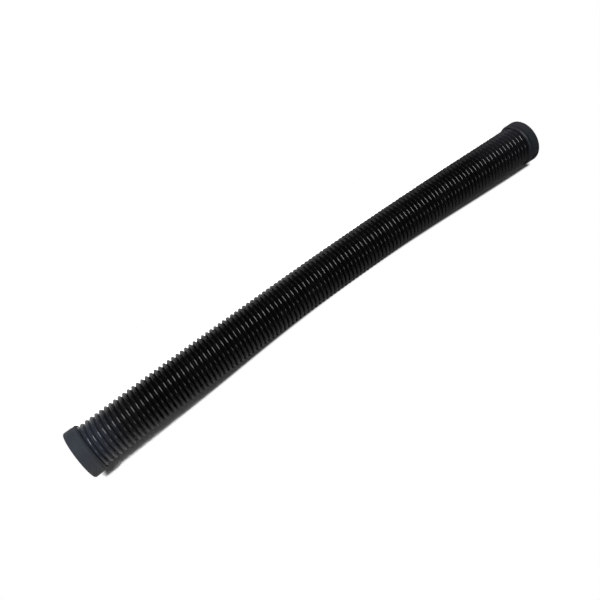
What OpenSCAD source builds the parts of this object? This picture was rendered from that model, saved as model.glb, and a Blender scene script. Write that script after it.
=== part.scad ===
// Pool vacuum hose section: a spiral-ribbed soft hose with a moulded cuff on each end.
// It lies on the floor along X, on both cuffs and on the middle of the hose.
// Lengths are in millimetres, angles in degrees, +Z is up.

/* [Hose] */
// Length of the hose along its middle line, from end face to end face
hose_len = 600; // [300:1:900]
// Diameter over the ribs
hose_od = 47.5; // [44:0.5:60]
// Distance from one turn of the rib to the next
rib_pitch = 5.25; // [4:0.25:8]
// Height of the rib above the groove beside it
rib_depth = 2.2; // [1.2:0.1:3]
// Thickness of the hose's wall under the groove
hose_wall = 0.7; // [0.4:0.1:2]
// Sides of the hose's section
rib_sides = 8; // [8:4:16]
// Plain length at each end, before the rib starts
plain_end = 2; // [1:0.5:4]
// How far the middle stands back from the line between the ends
bow = 7; // [2:0.5:30]

/* [Cuffs] */
// Thickness of a cuff's wall round the ribs
cuff_wall = 2.1; // [1.5:0.1:5]
// Length of a cuff along its axis
cuff_len = 14.5; // [12:0.5:40]
// Bore of the cuff's mouth, which slips over a fitting
mouth_bore = 38.2; // [36:0.1:40]
// Length of the mouth in front of the hose's end face
mouth_len = 6; // [4:0.5:8]
// Rounding of the rim's outer edge
rim_round = 1.5; // [0.5:0.25:3]
// Rounding of the mouth's inner edge
mouth_round = 1; // [0.25:0.25:1.5]
// Length over which the cuff's shoulder curves in to the ribs
shoulder_len = 3.5; // [2:0.25:5]
// Thickness of the shoulder's edge, over the ribs
shoulder_edge = 0.6; // [0.3:0.1:1.2]

/* [Fits] */
// Radial gap between the ribs and the cuff's seat
seat_gap = 0.1; // [0.05:0.05:0.3]

/* [Hidden] */
$fn = 96;

hose_color = "#15161a";
cuff_color = "#2b3139";
arc_steps = 8;

// A cuff's radii: the seat over the ribs, and the outside.
seat_r = hose_od / 2 + seat_gap;
cuff_r = seat_r + cuff_wall;

// The middle line: an arc, then a straight run of one hose diameter outside each cuff's seat.
seat_len = cuff_len - mouth_len;
end_run = hose_od + seat_len;
arc_half = hose_len / 2 - end_run;
cuff_rest = end_run - seat_len + shoulder_len;
rise = cuff_r - hose_od / 2;
lean = atan2(rise, bow);
end_turn = norm([bow, rise]) / (arc_half / 2 + cuff_rest) * 180 / PI;
arc_radius = arc_half / (end_turn * PI / 180);

// Heading of the middle line and its place, in the plane of the bow, at distance s from the middle.
function heading(s) = max(-arc_half, min(arc_half, s)) / arc_radius * 180 / PI;
function past_arc(s) = s - max(-arc_half, min(arc_half, s));
function along(s) = arc_radius * sin(heading(s)) + past_arc(s) * cos(heading(s));
function aside(s) = -arc_radius * (1 - cos(heading(s))) - past_arc(s) * sin(heading(s));

// A point of the hose at distance s from the middle, radius r and angle a round the middle line.
function hose_point(s, r, a) =
    let (h = heading(s))
    [along(s) + r * cos(a) * sin(h), aside(s) + r * cos(a) * cos(h), r * sin(a)];

// One rib winds left-handed from end to end: even rows of points lie in its groove, odd rows on its crest.
groove_r = hose_od / 2 - rib_depth;
bore_r = groove_r - hose_wall / cos(180 / rib_sides);
turns = floor((hose_len - 2 * plain_end) / rib_pitch) - 1;
rib_start = -(turns + 1) * rib_pitch / 2;
last_row = 2 * turns;
bore_rings = ceil(hose_len / hose_od);

function side_angle(j) = lean + 90 - 360 * j / rib_sides;
function row_radius(row) = row % 2 == 0 ? groove_r : hose_od / 2;
function rib_point(row, j) =
    hose_point(rib_start + (row / 2 + j / rib_sides) * rib_pitch, row_radius(row), side_angle(j));

outer_points = [for (row = [0:last_row], j = [0:rib_sides - 1]) rib_point(row, j)];
face_points = [for (end = [-1, 1], j = [0:rib_sides - 1])
    hose_point(end * hose_len / 2, groove_r, side_angle(j))];
bore_points = [for (ring = [0:bore_rings], j = [0:rib_sides - 1])
    hose_point((ring / bore_rings - 0.5) * hose_len, bore_r, side_angle(j))];

// Index of a point on a rib row, on the left or right end face (0 or 1), or on a ring of the bore.
function on_rib(row, j) = row * rib_sides + j;
function on_face(end, j) = len(outer_points) + end * rib_sides + j % rib_sides;
function on_bore(ring, j) = len(outer_points) + len(face_points) + ring * rib_sides + j % rib_sides;

function quad(a, b, c, d) = [[a, b, c], [a, c, d]];
function flat(lists) = [for (list = lists, item = list) item];
function fan(centre, rim) = [for (i = [0:len(rim) - 2]) [centre, rim[i], rim[i + 1]]];

last = rib_sides - 1;
rib_faces = flat([for (row = [0:last_row - 1], j = [0:last - 1])
    quad(on_rib(row, j), on_rib(row, j + 1), on_rib(row + 1, j + 1), on_rib(row + 1, j))]);
turn_faces = flat([for (row = [0:last_row - 3])
    quad(on_rib(row, last), on_rib(row + 2, 0), on_rib(row + 3, 0), on_rib(row + 1, last))]);
left_faces = concat(
    flat([for (j = [0:last - 1])
        quad(on_face(0, j), on_face(0, j + 1), on_rib(0, j + 1), on_rib(0, j))]),
    fan(on_rib(0, last), [on_face(0, last), on_face(0, 0), on_rib(0, 0), on_rib(1, 0), on_rib(2, 0)]));
right_faces = concat(
    flat([for (j = [0:last - 1])
        quad(on_rib(last_row, j), on_rib(last_row, j + 1), on_face(1, j + 1), on_face(1, j))]),
    fan(on_rib(last_row, 0), [on_face(1, 0), on_face(1, last), on_rib(last_row, last),
        on_rib(last_row - 1, last), on_rib(last_row - 2, last)]));
rim_faces = flat([for (j = [0:last]) concat(
    quad(on_face(0, j + 1), on_face(0, j), on_bore(0, j), on_bore(0, j + 1)),
    quad(on_face(1, j), on_face(1, j + 1), on_bore(bore_rings, j + 1), on_bore(bore_rings, j)))]);
bore_faces = flat([for (ring = [0:bore_rings - 1], j = [0:last])
    quad(on_bore(ring, j), on_bore(ring + 1, j), on_bore(ring + 1, j + 1), on_bore(ring, j + 1))]);

// Lays the part down: the middle of the hose and both cuffs touch the floor, centred over the origin.
module laid_down() {
    back = hose_od / 2;
    front = cuff_r - aside(hose_len / 2 + mouth_len) * cos(lean);
    translate([0, (front - back) / 2, hose_od / 2])
        rotate([-lean, 0, 0])
            children();
}

// Puts a shape at an end of the hose: its z = 0 on the hose's end face, +Z out of the mouth.
module at_end(side) {
    laid_down()
        mirror([side < 0 ? 1 : 0, 0, 0])
            translate([along(hose_len / 2), aside(hose_len / 2), 0])
                rotate([0, 0, -end_turn])
                    rotate([0, 90, 0])
                        children();
}

// Points on a quarter of an ellipse round a centre, from angle a to angle b.
function quarter(centre, half_size, a, b) = [for (i = [0:arc_steps]) let (t = a + (b - a) * i / arc_steps)
    centre + [half_size.x * cos(t), half_size.y * sin(t)]];

// Half of a cuff's section: the seat behind z = 0 holds the hose's end, the mouth is in front of it.
module cuff_section() {
    mouth_r = mouth_bore / 2;
    edge_r = seat_r + shoulder_edge;
    polygon(concat(
        [[seat_r, -seat_len]],
        quarter([edge_r, shoulder_len - seat_len], [cuff_r - edge_r, shoulder_len], -90, 0),
        quarter([cuff_r - rim_round, mouth_len - rim_round], [rim_round, rim_round], 0, 90),
        quarter([mouth_r + mouth_round, mouth_len - mouth_round], [mouth_round, mouth_round], 90, 180),
        [[mouth_r, 0], [seat_r, 0]]));
}

module cuff() {
    color(cuff_color)
        rotate_extrude()
            cuff_section();
}

module hose() {
    color(hose_color)
        laid_down()
            polyhedron(
                points = concat(outer_points, face_points, bore_points),
                faces = concat(rib_faces, turn_faces, left_faces, right_faces, rim_faces, bore_faces),
                convexity = 10);
}

module left_cuff() {
    at_end(-1) cuff();
}

module right_cuff() {
    at_end(1) cuff();
}

hose();
left_cuff();
right_cuff();
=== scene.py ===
# %% [markdown]
# # Dressing a pool vacuum hose
# A short vacuum hose has three pieces: a soft black tube with one rib wound round it, and a
# matt cuff on each end. Their sizes and places are settled in a CAD model. This lesson loads
# that model as a fixed frame, models the three pieces finely over it, and gives each a finish.

# %% The tools and the frame
import math

import bpy
import numpy as np
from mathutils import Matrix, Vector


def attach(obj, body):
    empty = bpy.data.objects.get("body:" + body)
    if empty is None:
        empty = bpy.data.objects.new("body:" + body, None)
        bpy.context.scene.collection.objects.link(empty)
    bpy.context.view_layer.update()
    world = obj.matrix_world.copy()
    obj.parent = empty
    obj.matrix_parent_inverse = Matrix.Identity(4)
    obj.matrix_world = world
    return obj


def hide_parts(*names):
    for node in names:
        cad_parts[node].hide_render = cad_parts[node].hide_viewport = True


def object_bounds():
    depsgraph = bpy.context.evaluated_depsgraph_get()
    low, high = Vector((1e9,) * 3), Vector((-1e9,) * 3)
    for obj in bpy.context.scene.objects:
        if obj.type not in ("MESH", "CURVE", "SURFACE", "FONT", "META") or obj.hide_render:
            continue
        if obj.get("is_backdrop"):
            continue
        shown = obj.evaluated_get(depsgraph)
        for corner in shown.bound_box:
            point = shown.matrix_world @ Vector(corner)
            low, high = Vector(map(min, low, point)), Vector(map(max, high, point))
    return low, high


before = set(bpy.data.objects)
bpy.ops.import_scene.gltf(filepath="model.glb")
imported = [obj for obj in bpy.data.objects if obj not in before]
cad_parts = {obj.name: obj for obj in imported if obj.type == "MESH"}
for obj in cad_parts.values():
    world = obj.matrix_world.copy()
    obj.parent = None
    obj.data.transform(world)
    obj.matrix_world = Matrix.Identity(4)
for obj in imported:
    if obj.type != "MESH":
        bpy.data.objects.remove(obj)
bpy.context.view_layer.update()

# %% [markdown]
# ## Sizes
# A maker thinks in millimetres and Blender in metres, so each size is written in millimetres
# and turned into metres once. These are the same sizes as in the CAD model, which a script
# like this can't read. The last four shape the rib more finely than the frame does: half its
# width, how far the groove cuts in below its foot, the wall, and the wave inside.

# %% Sizes of the hose and its cuffs
MM = 0.001
HOSE_LEN = 600 * MM
HOSE_R = 47.5 * MM / 2
RIB_PITCH = 5.25 * MM
RIB_DEPTH = 2.2 * MM
BOW = 7 * MM
CUFF_R = 51.9 * MM / 2
CUFF_LEN = 14.5 * MM
MOUTH_R = 38.2 * MM / 2
MOUTH_LEN = 6 * MM
SEAT_R = HOSE_R + 0.1 * MM
SHOULDER_LEN = 3.5 * MM
SHOULDER_EDGE = 0.6 * MM
RIM_ROUND = 1.5 * MM
MOUTH_ROUND = 1 * MM
RIB_HALF = 1.8 * MM
GROOVE = 0.8 * MM
WALL = 0.7 * MM
INNER_WAVE = 0.5 * MM
print("hose:", round(HOSE_LEN / (2 * HOSE_R), 2), "diameters long")

# %% [markdown]
# ## The route
# A hose this short holds its own shape. It lies in a very slight bow, and runs straight for one
# diameter outside each cuff. The bow leans a little, because the thick cuffs lift the ends.
# One function lays a straight piece on that route, so every piece is first modelled straight
# along X, where an operator is easy to aim, and bent once at the end.

# %% The route's formula
SEAT_LEN = CUFF_LEN - MOUTH_LEN
END_RUN = 2 * HOSE_R + SEAT_LEN
ARC_HALF = HOSE_LEN / 2 - END_RUN
RISE = CUFF_R - HOSE_R
LEAN = math.atan2(RISE, BOW)
END_TURN = math.hypot(BOW, RISE) / (ARC_HALF / 2 + END_RUN - SEAT_LEN + SHOULDER_LEN)
ARC_RADIUS = ARC_HALF / END_TURN


def on_arc(run, across):
    """Where a point lies in the plane of the bow: run is its distance from the hose's middle."""
    arc = np.clip(run, -ARC_HALF, ARC_HALF)
    heading = arc / ARC_RADIUS
    past = run - arc
    along = ARC_RADIUS * np.sin(heading) + past * np.cos(heading) + across * np.sin(heading)
    aside = ARC_RADIUS * (np.cos(heading) - 1) - past * np.sin(heading) + across * np.cos(heading)
    return along, aside


def lay(points):
    """Straight points (run, across, up) to the points where they lie on the floor."""
    run, across, up = np.asarray(points, float).T
    along, aside = on_arc(run, across)
    front = CUFF_R - on_arc(HOSE_LEN / 2 + MOUTH_LEN, 0)[1] * math.cos(LEAN)
    y = aside * math.cos(LEAN) + up * math.sin(LEAN) + (front - HOSE_R) / 2
    z = up * math.cos(LEAN) - aside * math.sin(LEAN) + HOSE_R
    return np.stack([along, y, z], axis=1)


print("ends turn", round(math.degrees(END_TURN), 2), "degrees; radius", round(ARC_RADIUS, 2), "m")

# %% [markdown]
# ## The camera
# The hose is seen from above and a little to its left, on a slant, so that it crosses the view
# from corner to corner. A lens of about 35 mm makes the near cuff larger than the far one. Two
# angles aim the camera: how far it looks down, and how far it is turned to the right.

# %% The camera
CAMERA_PLACE = (-0.2044, -0.2125, 0.5947)
CAMERA_DOWN = 64.95
CAMERA_TURN = 38.13
LENS = 35.3
bpy.ops.object.select_all(action="DESELECT")
camera_turn = (math.radians(90 - CAMERA_DOWN), 0, -math.radians(CAMERA_TURN))
bpy.ops.object.camera_add(location=CAMERA_PLACE, rotation=camera_turn)
camera = bpy.context.object
camera.data.lens = LENS
bpy.context.scene.camera = camera
bpy.context.scene.view_settings.view_transform = "Standard"
print("camera stands", round(camera.location.length, 3), "m from the origin")

# %% [markdown]
# ## Shader maths as Python
# A material is a tree of nodes. Long chains of Math nodes are hard to read, so a socket is wrapped
# in a small class whose operators add those nodes: `1 - mask * 0.5` reads as it is worked out.

# %% A socket that takes part in expressions
class Value:
    """A socket of a finish. Arithmetic on it adds Math nodes to that finish."""

    def __init__(self, finish, socket):
        self.finish = finish
        self.socket = socket

    def also(self, out):
        """Another output of the same node."""
        return Value(self.finish, self.socket.node.outputs[out])

    def maths(self, operation, first, second):
        """What a Math node makes of two values."""
        return self.finish.add("ShaderNodeMath", {"operation": operation}, {0: first, 1: second})

    def __add__(self, other):
        return self.maths("ADD", self, other)

    def __radd__(self, other):
        return self.maths("ADD", other, self)

    def __sub__(self, other):
        return self.maths("SUBTRACT", self, other)

    def __rsub__(self, other):
        return self.maths("SUBTRACT", other, self)

    def __mul__(self, other):
        return self.maths("MULTIPLY", self, other)

    def __rmul__(self, other):
        return self.maths("MULTIPLY", other, self)

    def __pow__(self, other):
        return self.maths("POWER", self, other)


print("reflected operators:", [name for name in vars(Value) if name.startswith("__r")])

# %% A finish and its nodes
class Finish:
    """A material, or the world. Its add method makes each of its nodes."""

    def __init__(self, owner):
        owner.use_nodes = True
        self.owner = owner
        self.tree = owner.node_tree
        self.tree.nodes.clear()

    def add(self, kind, settings=None, sockets=None, out=0):
        """Adds a node, sets it up, fills or links its sockets, and gives back one of its outputs."""
        node = self.tree.nodes.new(kind)
        for name, value in (settings or {}).items():
            setattr(node, name, value)
        for name, value in (sockets or {}).items():
            if isinstance(value, Value):
                self.tree.links.new(value.socket, node.inputs[name])
            else:
                node.inputs[name].default_value = value
        return Value(self, node.outputs[out]) if node.outputs else None

    def noise(self, size, detail, stretch=(1, 1, 1)):
        """Noise whose lumps are about size metres across, on the piece's Object coordinates."""
        place = self.add("ShaderNodeTexCoord", out="Object")
        scaled = self.add("ShaderNodeMapping", None, {"Vector": place, "Scale": stretch})
        sockets = {"Vector": scaled, "Scale": 1 / size, "Detail": detail}
        return self.add("ShaderNodeTexNoise", None, sockets, out="Fac")

    def step(self, value, low, high):
        """0 below low, 1 above high, and smooth between them."""
        settings = {"interpolation_type": "SMOOTHSTEP"}
        sockets = {"Value": value, "From Min": low, "From Max": high}
        return self.add("ShaderNodeMapRange", settings, sockets)

    def mix(self, share, first, second):
        """A colour between two colours, which a Mix node takes at its sockets 6 and 7."""
        settings = {"data_type": "RGBA"}
        return self.add("ShaderNodeMix", settings, {0: share, 6: first, 7: second}, out=2)

    def mix_shaders(self, share, first, second):
        """A surface between two surfaces."""
        return self.add("ShaderNodeMixShader", None, {0: share, 1: first, 2: second})


print("what a finish can add:", [name for name in vars(Finish) if not name.startswith("_")])

# %% [markdown]
# ## The studio
# A black, glossy hose looks black only where it has something dark to reflect, so two things are
# told apart by the kind of ray that meets them. The floor is pale, but grey to glossy rays: a
# little paler round the left end and behind the left half. The world is white to the camera and
# nearly black to every other ray. The camera sees the lit floor, with its shadow, only along the
# hose; all round it is plain white. The lit part's front edge runs close along the hose, so it is
# bowed too: its crown is a little right of the middle, and the bow eases off towards the ends.
# Both ends and the back of the lit part are straight.

# %% The lit part of the floor
EDGE_FRONT = 10.6 * MM
EDGE_FADE = 3 * MM
EDGE_CROWN = 20 * MM
EDGE_SLANT = 0.003
EDGE_BOW = 0.26
EDGE_EASE = 1.2
ENDS_MIDDLE = 4 * MM
ENDS_REACH = 308 * MM
ENDS_FADE = 0.95
BACK_EDGE = (60 * MM, 90 * MM)

floor_finish = Finish(bpy.data.materials.new("floor"))
seen = floor_finish.add("ShaderNodeLightPath", out="Is Camera Ray")
spot = floor_finish.add("ShaderNodeTexCoord", out="Object")
along = floor_finish.add("ShaderNodeSeparateXYZ", None, {0: spot}, out="X")
across = along.also("Y")
squared = (along - EDGE_CROWN) ** 2
from_edge = along * EDGE_SLANT - across - squared * (EDGE_BOW - squared * EDGE_EASE)
in_front = floor_finish.step(from_edge, EDGE_FRONT, EDGE_FRONT + EDGE_FADE)
reach = ENDS_REACH ** 2
past_ends = floor_finish.step((along - ENDS_MIDDLE) ** 2, ENDS_FADE * reach, reach)
behind = floor_finish.step(across, *BACK_EDGE)
plain = (1 - (1 - in_front) * (1 - past_ends) * (1 - behind)) * seen
print("the lit floor is", round(2 * ENDS_REACH, 3), "m long")

# %% The floor's shades
PALE = (0.6, 0.6, 0.6, 1)
GREY = (0.082, 0.082, 0.082, 1)
LEFT_PART = (0.2, 0.35)
LEFT_HALF = (-0.15, 0.15)
BACK_PART = (0, 0.1)
LEFT_PALENESS = 0.2
BACK_PALENESS = 0.22

leftwards = 0 - along
left_part = floor_finish.step(leftwards, *LEFT_PART)
back_part = floor_finish.step(leftwards, *LEFT_HALF) * floor_finish.step(across, *BACK_PART)
paleness = left_part * LEFT_PALENESS + back_part * BACK_PALENESS
grey = floor_finish.add("ShaderNodeBsdfDiffuse", None, {"Color": GREY})
pale = floor_finish.add("ShaderNodeBsdfDiffuse", None, {"Color": PALE})
white = floor_finish.add("ShaderNodeEmission", None, {"Strength": 1})
mirrored = seen.also("Is Glossy Ray")
matt = floor_finish.mix_shaders(mirrored * (1 - paleness), pale, grey)
shown = floor_finish.mix_shaders(plain, matt, white)
floor_finish.add("ShaderNodeOutputMaterial", None, {"Surface": shown})
print("floor finish:", len(floor_finish.tree.nodes), "nodes")

# %% The floor
FLOOR_SIZE = 12

bpy.ops.object.select_all(action="DESELECT")
bpy.ops.mesh.primitive_plane_add(size=FLOOR_SIZE)
floor = bpy.context.object
floor.name = "floor"
floor.data.materials.append(floor_finish.owner)
floor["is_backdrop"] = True
print("floor:", FLOOR_SIZE, "m square")

# %% The world
AMBIENT_COLOR = (0.85, 0.93, 1, 1)
AMBIENT = 0.03

world = Finish(bpy.data.worlds.new("studio"))
bpy.context.scene.world = world.owner
seen = world.add("ShaderNodeLightPath", out="Is Camera Ray")
dim = world.add("ShaderNodeBackground", None, {"Color": AMBIENT_COLOR, "Strength": AMBIENT})
white = world.add("ShaderNodeBackground", None, {"Color": (1, 1, 1, 1)})
shown = world.mix_shaders(seen, dim, white)
world.add("ShaderNodeOutputWorld", None, {"Surface": shown})
print("ambient light:", AMBIENT)

# %% [markdown]
# ## The lights
# Every rib carries small highlights. The bright one comes from a lamp above, nearer to the left
# end, and the faint ones from a lamp in front and another behind. A wide, dim lamp low behind the
# hose stands for a wall, and draws its upper edge. The flood lamp makes the floor bright and gives
# the shadow; it isn't reflected in the hose. Every lamp faces the origin.

# %% Five lights
LIGHTS = {
    "key": {"place": (-0.35, 0.05, 1.25), "size": (0.62, 0.4), "watts": 7.9},
    "front": {"place": (-0.3, -0.95, 0.78), "size": (0.3, 0.3), "watts": 1.2},
    "back": {"place": (-0.3, 0.8, 1.1), "size": (0.4, 0.4), "watts": 0.4},
    "wall": {"place": (0, 1.5, 0.25), "size": (1.6, 0.5), "watts": 0.95},
    "flood": {"place": (-0.55, 0.03, 1.1), "size": (0.25, 0.25), "watts": 40},
}

for name, light in LIGHTS.items():
    bpy.ops.object.select_all(action="DESELECT")
    bpy.ops.object.light_add(type="AREA", location=light["place"])
    lamp = bpy.context.object
    lamp.name = name
    lamp.data.shape = "RECTANGLE"
    lamp.data.size, lamp.data.size_y = light["size"]
    lamp.data.energy = light["watts"]
    lamp.rotation_euler = lamp.location.to_track_quat("Z", "Y").to_euler()
    lamp.visible_camera = False
    lamp.visible_glossy = name != "flood"
    print(name, "light:", light["watts"], "W at", round(lamp.location.length, 2), "m")

# %% [markdown]
# ## Drawing and winding
# The hose and its cuffs are round. Cylinders could be cut and bevelled into their shapes, but a
# section turned about X takes only one line of points, each worked out from the sizes. The section
# is drawn by extruding one vertex from point to point. That vertex is a small triangle merged into
# its centre. A Screw modifier turns the section: once round for a cuff, or over and over, a little
# further along each time, for the wound rib.

# %% Drawing a section
def open_piece(piece):
    """Opens a piece in edit mode, alone and with all of it selected."""
    bpy.ops.object.select_all(action="DESELECT")
    piece.select_set(True)
    bpy.context.view_layer.objects.active = piece
    bpy.ops.object.mode_set(mode="EDIT")
    bpy.ops.mesh.select_mode(type="VERT")
    bpy.ops.mesh.select_all(action="SELECT")


def draw(name, points):
    """Draws a line through points (run, height) by extruding one vertex from each to the next."""
    bpy.ops.object.select_all(action="DESELECT")
    bpy.ops.mesh.primitive_circle_add(vertices=3, radius=MM)
    piece = bpy.context.object
    piece.name = name
    open_piece(piece)
    bpy.ops.mesh.merge(type="CENTER")
    steps = np.diff(points, axis=0)
    bpy.ops.transform.translate(value=(points[0][0], 0, points[0][1]))
    for run, height in steps:
        bpy.ops.mesh.extrude_vertices_move(TRANSFORM_OT_translate={"value": (run, 0, height)})
    bpy.ops.object.mode_set(mode="OBJECT")
    return piece


# %% Turning a section
SAME_PLACE = 0.005 * MM


def wind(piece, steps, pitch=0, turns=1):
    """Turns a section about the X axis: once round, or as a left-handed spiral of that pitch."""
    screw = piece.modifiers.new("winding", "SCREW")
    screw.axis = "X"
    screw.angle = -2 * math.pi
    screw.screw_offset = pitch
    screw.iterations = turns
    screw.steps = steps
    bpy.ops.object.modifier_apply(modifier=screw.name)
    open_piece(piece)
    bpy.ops.mesh.remove_doubles(threshold=SAME_PLACE)
    bpy.ops.mesh.normals_make_consistent(inside=False)
    bpy.ops.object.mode_set(mode="OBJECT")
    print(piece.name, "has", len(piece.data.polygons), "faces")


# %% [markdown]
# ## The ribbed tube
# The real tube is a strip wound into a spiral, each turn welded to the one before. A row of rings
# would be simpler, but rings stand square to the hose and the turns of a spiral slant, so the rib
# is wound as the real one is. The top of its section is part of an ellipse. A steep flank on either
# side cuts in below it and meets the next turn in a sharp groove, which stays dark. The inside only
# waves a little. The spiral is wound a little too long, and the spare turns are cut off square at
# both ends.

# %% The rib's section
TOP_ANGLES = (160, 20)
TOP_STEPS = 8
WAVE_POINTS = 5
FOOT_R = HOSE_R - RIB_DEPTH
GROOVE_R = FOOT_R - GROOVE
BORE_R = GROOVE_R - WALL


def arc(centre, size, start, stop, steps):
    """Points (run, height) on part of an ellipse, from one angle to another in degrees."""
    angles = np.radians(np.linspace(start, stop, steps + 1))
    return [(centre[0] + size[0] * math.cos(a), centre[1] + size[1] * math.sin(a)) for a in angles]


half = RIB_PITCH / 2
round_top = arc((0, FOOT_R), (RIB_HALF, RIB_DEPTH), *TOP_ANGLES, TOP_STEPS)
rib = [(-half, GROOVE_R)] + round_top + [(half, GROOVE_R)]
turns = np.linspace(-0.5, 0.5, WAVE_POINTS)
wave = [(x * RIB_PITCH, BORE_R + INNER_WAVE * math.cos(math.pi * x) ** 2) for x in turns]
print("points in a rib's section:", len(rib), "outside and", len(wave), "inside")

# %% Winding the outside and the inside
SIDES = 64
INNER_SIDES = 32
TURNS = 2 * math.ceil(HOSE_LEN / RIB_PITCH / 2 + 1)
START = RIB_PITCH * (LEAN / (2 * math.pi) - TURNS / 2)

outside = draw("hose_tube", [(START + x, z) for x, z in rib])
wind(outside, SIDES, RIB_PITCH, TURNS)
inside = draw("bore", [(START + x, z) for x, z in wave])
wind(inside, INNER_SIDES, RIB_PITCH, TURNS)

# %% Cutting the tube to length
def cut(piece, side):
    """Cuts off what lies beyond one end of the hose."""
    open_piece(piece)
    place = (side * HOSE_LEN / 2, 0, 0)
    bpy.ops.mesh.bisect(plane_co=place, plane_no=(side, 0, 0), clear_outer=True)
    bpy.ops.object.mode_set(mode="OBJECT")


for side in (-1, 1):
    cut(outside, side)
    cut(inside, side)
print("outside and inside are cut to", round(HOSE_LEN, 3), "m")

# %% Joining the outside and the inside, and closing the ends
def close(piece, side):
    """Fills the ring between the outside and the bore at one end of the hose."""
    open_piece(piece)
    bpy.ops.mesh.select_mode(type="EDGE")
    bpy.ops.mesh.select_all(action="DESELECT")
    bpy.ops.mesh.select_non_manifold(use_multi_face=False, use_non_contiguous=False)
    bpy.ops.object.mode_set(mode="OBJECT")
    for edge in piece.data.edges:
        if piece.data.vertices[edge.vertices[0]].co.x * side < 0:
            edge.select = False
    bpy.ops.object.mode_set(mode="EDIT")
    bpy.ops.mesh.fill()
    bpy.ops.mesh.select_all(action="SELECT")
    bpy.ops.mesh.normals_make_consistent(inside=False)
    bpy.ops.object.mode_set(mode="OBJECT")


bpy.ops.object.select_all(action="DESELECT")
inside.select_set(True)
outside.select_set(True)
bpy.context.view_layer.objects.active = outside
bpy.ops.object.join()
tube = outside
for side in (-1, 1):
    close(tube, side)
print("the tube has", len(tube.data.polygons), "faces")

# %% [markdown]
# ## The cuffs
# A cuff is a soft moulded sleeve, pushed over the last ribs. Both are alike, so one section serves
# for the two, the other way round at the left end. It runs up the elliptical shoulder, along the
# outside to the rounded rim, and back through the mouth to the step against which the hose ends.
# The outside has many points along it, because the ribs that lie under it will shape it a little.

# %% The cuffs' section
CURVE_STEPS = 8
LIP_STEPS = 6
FLAT_POINTS = 16
EDGE_R = SEAT_R + SHOULDER_EDGE
FLAT_START = SHOULDER_LEN - SEAT_LEN
FLAT_STOP = MOUTH_LEN - RIM_ROUND

shoulder = arc((FLAT_START, EDGE_R), (-SHOULDER_LEN, CUFF_R - EDGE_R), 0, 90, CURVE_STEPS)
flat = [(run, CUFF_R) for run in np.linspace(FLAT_START, FLAT_STOP, FLAT_POINTS)]
rim = arc((FLAT_STOP, CUFF_R - RIM_ROUND), (RIM_ROUND, RIM_ROUND), 90, 0, CURVE_STEPS)
lip_centre = (MOUTH_LEN - MOUTH_ROUND, MOUTH_R + MOUTH_ROUND)
lip = arc(lip_centre, (MOUTH_ROUND, MOUTH_ROUND), 0, -90, LIP_STEPS)
step_in = [(0, MOUTH_R), (0, SEAT_R), (-SEAT_LEN, SEAT_R)]
section = shoulder + flat[1:] + rim[1:] + lip + step_in + shoulder[:1]
print("points in a cuff's section:", len(section))

# %% Turning the section into two cuffs
CUFF_SIDES = 128

cuffs = {}
for side, name in ((-1, "left_cuff_sleeve"), (1, "right_cuff_sleeve")):
    placed = [(side * (HOSE_LEN / 2 + run), height) for run, height in section]
    cuffs[side] = draw(name, placed)
    wind(cuffs[side], CUFF_SIDES)

# %% [markdown]
# ## Bending and smoothing
# Where a vertex lies on the spiral follows from its place. That phase is a whole number on a crest
# and half a turn more in a groove. It tells where the thin shoulder of a cuff sinks a little, which
# is between the ribs. It is also stored with each vertex, as a point on a circle, so that the finish
# of the hose can tell a crest from a groove. With it goes how far along the hose the vertex lies, as
# a share of the length, from -0.5 to 0.5. Then each piece is laid on the route. A Curve modifier
# could bend it too, but the formula keeps it on the route of the frame.

# %% The phase of the spiral
DRAWN_AT = 0.25


def phase(points):
    """How far round the spiral each straight point lies, in turns.

    A section is drawn upright, so it starts a quarter of a turn round the X axis.
    """
    run, across, up = points.T
    turn = (np.arctan2(up, across) - LEAN) / (2 * math.pi)
    return run / RIB_PITCH + turn - DRAWN_AT


first_crest = np.array([[START, 0, HOSE_R]])
print("phase on the crest that was drawn:", round(phase(first_crest)[0], 6))

# %% The ribs under a cuff
SHOW_THROUGH = 0.6 * MM
SHOW_LEN = 9.5 * MM


def smooth(x):
    """0 below 0, 1 above 1, and smooth between them."""
    x = np.clip(x, 0, 1)
    return x * x * (3 - 2 * x)


def show_ribs(points):
    """Sinks the outside of a cuff between the ribs that lie under it."""
    run, across, up = points.T
    radius = np.hypot(across, up)
    from_edge = np.abs(run) - (HOSE_LEN / 2 - SEAT_LEN)
    fade = smooth(1 - from_edge / SHOW_LEN) * smooth((radius - SEAT_R) / SHOULDER_EDGE)
    sink = SHOW_THROUGH * fade * (1 - np.cos(2 * math.pi * phase(points))) / 2
    kept = 1 - sink / radius
    return np.stack([run, across * kept, up * kept], axis=1)


print("the ribs show through", round(1000 * SHOW_LEN, 1), "mm of each cuff")

# %% Laying the pieces on the route
def get_points(piece):
    """The vertices of a piece, one (x, y, z) to a row."""
    flat_list = np.empty(3 * len(piece.data.vertices))
    piece.data.vertices.foreach_get("co", flat_list)
    return flat_list.reshape(-1, 3)


def bend(piece, sharp_angle):
    """Stores the spiral with a straight piece, lays it on the route and smooths its shading."""
    points = get_points(piece)
    turn = 2 * math.pi * phase(points)
    winding = piece.data.attributes.new("winding", "FLOAT_VECTOR", "POINT")
    circle = np.stack([np.cos(turn), np.sin(turn), points[:, 0] / HOSE_LEN], axis=1)
    winding.data.foreach_set("vector", circle.ravel())
    if piece is not tube:
        points = show_ribs(points)
    piece.data.vertices.foreach_set("co", lay(points).ravel())
    piece.data.update()
    bpy.ops.object.select_all(action="DESELECT")
    piece.select_set(True)
    bpy.context.view_layer.objects.active = piece
    bpy.ops.object.shade_smooth_by_angle(angle=math.radians(sharp_angle))
    print(piece.name, "laid down")


bend(tube, sharp_angle=60)
for cuff in cuffs.values():
    bend(cuff, sharp_angle=50)

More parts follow.
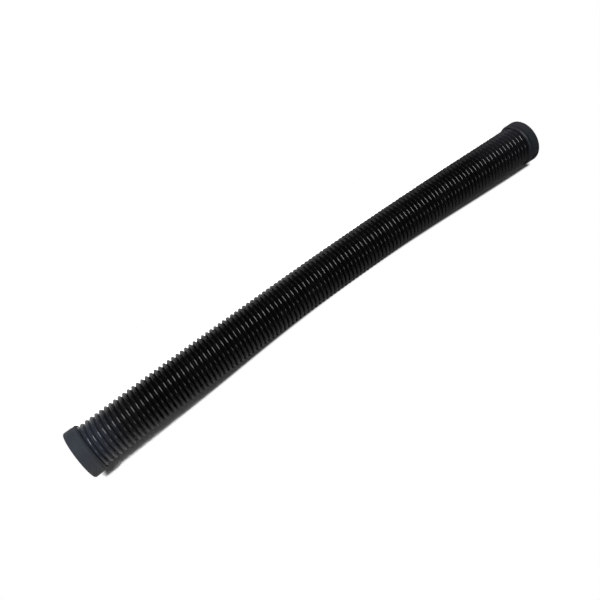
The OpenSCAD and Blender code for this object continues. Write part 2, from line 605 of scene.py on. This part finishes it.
# %% [markdown]
# ## The finishes
# Nothing is quite clean: thin layers of dust and film lie on the black plastic and on the slate
# rubber. Beside them lie painted light and painted shade: painted light from the floor low down at
# the left end, painted light in the grooves there, and painted shade on the front at the right end.
# Images could show them, but each surface would have to be unwrapped. Noise and places do
# without: a place tells where a point lies on the spiral, along the hose, above the floor and
# towards the back, and from it comes the share that a layer has there.

# %% The colours
HOSE_COLOR = (0.0008, 0.0008, 0.0009, 1)
FILM_COLOR = (0.0084, 0.01, 0.0133, 1)
# Painted light for the grooves at the left end, brightest at the seam where the cuff's shadow falls.
GROOVE_PAINTED_LIGHT = (0.045, 0.05, 0.06, 1)
# Dust in the grooves; at the left end it also makes the whole end paler.
DUST_COLOR = (0.0075, 0.0075, 0.0076, 1)
# Painted light: what the floor throws on the low side of the left end.
PAINTED_FLOOR_LIGHT = (0.03, 0.03, 0.03, 1)
CUFF_COLOR = (0.0155, 0.0144, 0.018, 1)
# Painted shade: the darker front of a cuff.
CUFF_SHADED_FRONT = (0.0067, 0.0083, 0.01, 1)
print("the film is", round(FILM_COLOR[1] / HOSE_COLOR[1], 1), "times as bright as the hose")

# %% What both finishes share
FRONT_TO_BACK = (-12 * MM, 14 * MM)


def read_place(finish):
    """Where a point lies: on the spiral, along the hose, above the floor and towards the back."""
    spiral = finish.add("ShaderNodeAttribute", {"attribute_name": "winding"}, out="Vector")
    run = finish.add("ShaderNodeSeparateXYZ", None, {0: spiral}, out="Z")
    spot = finish.add("ShaderNodeTexCoord", out="Object")
    level = finish.add("ShaderNodeSeparateXYZ", None, {0: spot}, out="Z")
    back = finish.step(level.also("Y"), *FRONT_TO_BACK)
    return {"spiral": spiral, "run": run, "level": level, "back": back}


def coat(finish, pieces, sockets, relief):
    """Ends a finish in a skin with those sockets and a fine relief, and gives it to its pieces."""
    bump = finish.add("ShaderNodeBump", None, relief)
    skin = finish.add("ShaderNodeBsdfPrincipled", None, {**sockets, "Normal": bump})
    finish.add("ShaderNodeOutputMaterial", None, {"Surface": skin})
    for piece in pieces:
        piece.data.materials.append(finish.owner)
    print(finish.owner.name, "has", len(finish.tree.nodes), "nodes")


# %% [markdown]
# ## The hose's finish
# The hose is soft plastic, nearly black and glossy, and it reflects a little more than most
# plastics do. The die that formed the strip drew fine lines along it, so their noise is read from
# the spiral, and hardly changes from one turn to the next. Dust has settled in the grooves, and the
# whole left end is made a little paler. Low down at the left end, painted light stands for the light
# that the floor throws up. A thin grey film covers the last ribs at the left end, and their grooves
# are painted lighter, most of all at the seam, where the cuff's shadow falls. At the right end the
# film comes on slowly towards the cuff, and is fuller at the back than in front: that darker front
# is painted shade.

# %% Where dust, film, painted light and painted shade lie on the hose
# Each pair is where a step from 0 to 1 starts and stops: along the hose as a share of its length
# from the middle, across the rib as a cosine that is 1 on the crest, or for DEEP in the groove,
# and up from the floor.
CREST = (-0.9, 0.6)
DEEP = (0.2, 1)
LEFT_END_SPAN = (0.36, 0.48)
LEFT_FILM = (0.42, 0.48)
LEFT_GROOVE_LIGHT = (0.44, 0.47)
SEAM_PAINTED_LIGHT = (0.478, 0.486)
SEAM_SHARE = 0.75
RIGHT_FILM = (0.34, 0.5)
FRONT_FILM = 0.08
BACK_FILM_AND_LIGHT = 0.5
LOW = (24 * MM, 42 * MM)

hose_finish = Finish(bpy.data.materials.new("soft_black_plastic"))
place = read_place(hose_finish)
leftwards = 0 - place["run"]
cosine = place["run"].also("X")
crest = hose_finish.step(cosine, *CREST)
deep = hose_finish.step(0 - cosine, *DEEP)
left_end = hose_finish.step(leftwards, *LEFT_END_SPAN)
last_ribs = hose_finish.step(leftwards, *LEFT_FILM)
last_grooves = hose_finish.step(leftwards, *LEFT_GROOVE_LIGHT)
seam = hose_finish.step(leftwards, *SEAM_PAINTED_LIGHT)
# Painted light: the grooves of the last ribs are lighter, most of all at the seam, where the cuff's
# shadow falls.
painted_groove_light = deep * (last_grooves * (1 - SEAM_SHARE) + seam * SEAM_SHARE)
# The film at the right end; its thinner share in front is painted shade.
film = hose_finish.step(place["run"], *RIGHT_FILM) * (FRONT_FILM + place["back"] * BACK_FILM_AND_LIGHT)
# Low down, where painted light from the floor goes at the left end.
low = 1 - hose_finish.step(place["level"], *LOW)
print("the dust starts", round(1000 * HOSE_LEN * (0.5 - LEFT_END_SPAN[0])), "mm from the left end")

# %% The hose's colour and skin
BLOTCH_SIZE = 14 * MM
BLOTCHES = (0.45, 0.75)
BLOTCH_DUST = 0.2
LEFT_END_PALING = 0.6
LOW_PAINTED_LIGHT = 1.3
ROUGH = 0.13
BLOTCH_ROUGH = 0.05
GROOVE_ROUGH = 0.1
DIE_LINES = 9
DIE_SHARE = 0.7
GRAIN_SIZE = 0.6 * MM

blotches = hose_finish.noise(BLOTCH_SIZE, detail=4)
# Dust in the grooves, and the whole left end made paler.
dust = hose_finish.step(blotches, *BLOTCHES) * (1 - crest) * BLOTCH_DUST + left_end * LEFT_END_PALING
color = hose_finish.mix(dust, HOSE_COLOR, DUST_COLOR)
color = hose_finish.mix(last_ribs, color, FILM_COLOR)
color = hose_finish.mix(painted_groove_light, color, GROOVE_PAINTED_LIGHT)
color = hose_finish.mix(film, color, CUFF_COLOR)
# Painted light from the floor on the low side of the left end, more in the grooves than on the
# crests.
color = hose_finish.mix(left_end * low * (LOW_PAINTED_LIGHT - crest), color, PAINTED_FLOOR_LIGHT)
rough = ROUGH + blotches * BLOTCH_ROUGH + (1 - crest) * GROOVE_ROUGH
die = {"Vector": place["spiral"], "Scale": DIE_LINES, "Detail": 3}
lines = hose_finish.add("ShaderNodeTexNoise", None, die)
grain = hose_finish.noise(GRAIN_SIZE, detail=2)
height = lines * DIE_SHARE + grain * (1 - DIE_SHARE)
relief = {"Strength": 0.03, "Distance": 0.08 * MM, "Height": height}
coat(hose_finish, [tube], {"Base Color": color, "Roughness": rough, "IOR": 1.6}, relief)

# %% [markdown]
# ## The cuffs' finish
# The cuffs are matt slate rubber. The left one is bluish with film, and low down it has painted
# light from the floor. The right one is darker in front, which is painted shade, and smoother and
# blacker where it runs out over the ribs. One finish serves for both, because what sets them apart
# follows from where a point lies.

# %% Where the cuffs are thin and filmed, and where light is painted on low down
CUFF_EDGE = 0.5 - SEAT_LEN / HOSE_LEN
THIN_STOP = CUFF_EDGE + SHOW_LEN / HOSE_LEN
RIGHT_TO_LEFT = (-0.4, 0.4)
SCUFF_SIZE = 2.5 * MM
LEAST_FILM = 0.8
SCUFF_FILM = 0.4
CUFF_LOW = (22 * MM, 52 * MM)

cuff_finish = Finish(bpy.data.materials.new("matt_slate_rubber"))
place = read_place(cuff_finish)
thin = 1 - cuff_finish.step(place["run"] * place["run"], CUFF_EDGE ** 2, THIN_STOP ** 2)
scuffs = cuff_finish.noise(SCUFF_SIZE, detail=4, stretch=(1, 0.25, 0.25))
left = cuff_finish.step(0 - place["run"], *RIGHT_TO_LEFT)
film = left * (LEAST_FILM + scuffs * SCUFF_FILM)
low = 1 - cuff_finish.step(place["level"], *CUFF_LOW)
print("the cuffs are thin for", round(1000 * (THIN_STOP - CUFF_EDGE) * HOSE_LEN, 1), "mm")

# %% The cuffs' colour and skin
THIN_DARKNESS = 0.4
CUFF_PAINTED_LIGHT = 0.68
MATT = 0.72
CLOUD_SIZE = 9 * MM
CLOUD_ROUGH = 0.16
THIN_GLOSS = 0.4
CUFF_GRAIN_SIZE = 0.35 * MM

# Painted shade: a cuff's front is darker than its back.
color = cuff_finish.mix(place["back"], CUFF_SHADED_FRONT, CUFF_COLOR)
color = cuff_finish.mix(thin * THIN_DARKNESS, color, HOSE_COLOR)
color = cuff_finish.mix(film, color, FILM_COLOR)
# Painted light from the floor, low down on the left cuff.
color = cuff_finish.mix(film * low * CUFF_PAINTED_LIGHT, color, PAINTED_FLOOR_LIGHT)
clouds = cuff_finish.noise(CLOUD_SIZE, detail=5)
rough = MATT + clouds * CLOUD_ROUGH - thin * (1 - film) * THIN_GLOSS
grain = cuff_finish.noise(CUFF_GRAIN_SIZE, detail=3)
relief = {"Strength": 0.25, "Distance": 0.1 * MM, "Height": grain}
coat(cuff_finish, cuffs.values(), {"Base Color": color, "Roughness": rough, "IOR": 1.5}, relief)

# %% [markdown]
# ## Handing the pieces over
# Each piece takes the place of its piece in the frame, which is hidden, and is attached to an
# empty named for the root body.

# %% Putting the pieces in place of the frame's
for piece, node, slot in (
    (tube, "hose", "hose"),
    (cuffs[-1], "left_cuff", "cuff"),
    (cuffs[1], "right_cuff", "cuff"),
):
    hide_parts(node)
    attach(piece, "root")

print("declared:", tube.name, "and", [cuff.name for cuff in cuffs.values()])

# %% The box of the shown pieces
low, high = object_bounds()
print("visual box in mm:", [round(1000 * size, 1) for size in high - low])
